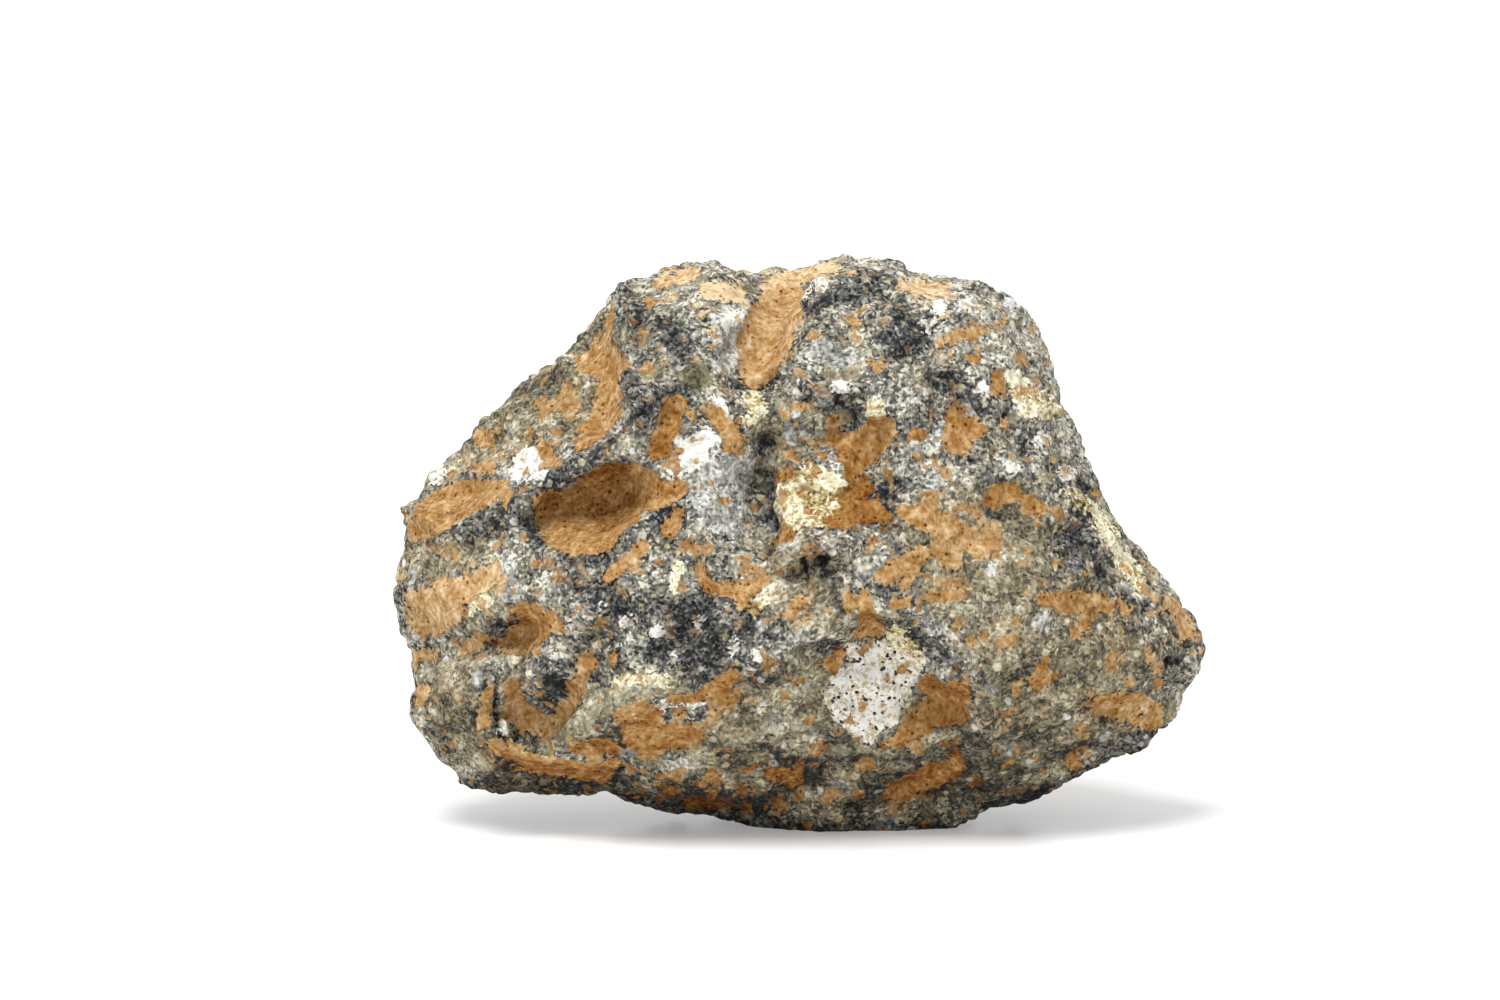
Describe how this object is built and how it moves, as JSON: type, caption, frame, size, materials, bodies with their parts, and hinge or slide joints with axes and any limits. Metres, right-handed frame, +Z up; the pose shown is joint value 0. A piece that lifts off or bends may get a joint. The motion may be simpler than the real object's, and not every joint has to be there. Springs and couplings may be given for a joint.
{
  "type": "lunar meteorite",
  "caption": "Irregular broken stone of lunar breccia, blunt and lumpy, with soil-filled hollows, that rests on a small flat.",
  "frame": {"origin": "centre of the stone's box at its base, on the surface it rests on", "axes": "+X along the long side, to the right as pictured; +Y from front to back, the short side; +Z up"},
  "size_m": [0.0328, 0.0204, 0.0225],
  "materials": {
    "breccia": "matt, finely pitted, with smooth soil in the hollows"
  },
  "bodies": {
    "root": {"meteorite_stone": "breccia"}
  },
  "joints": []
}
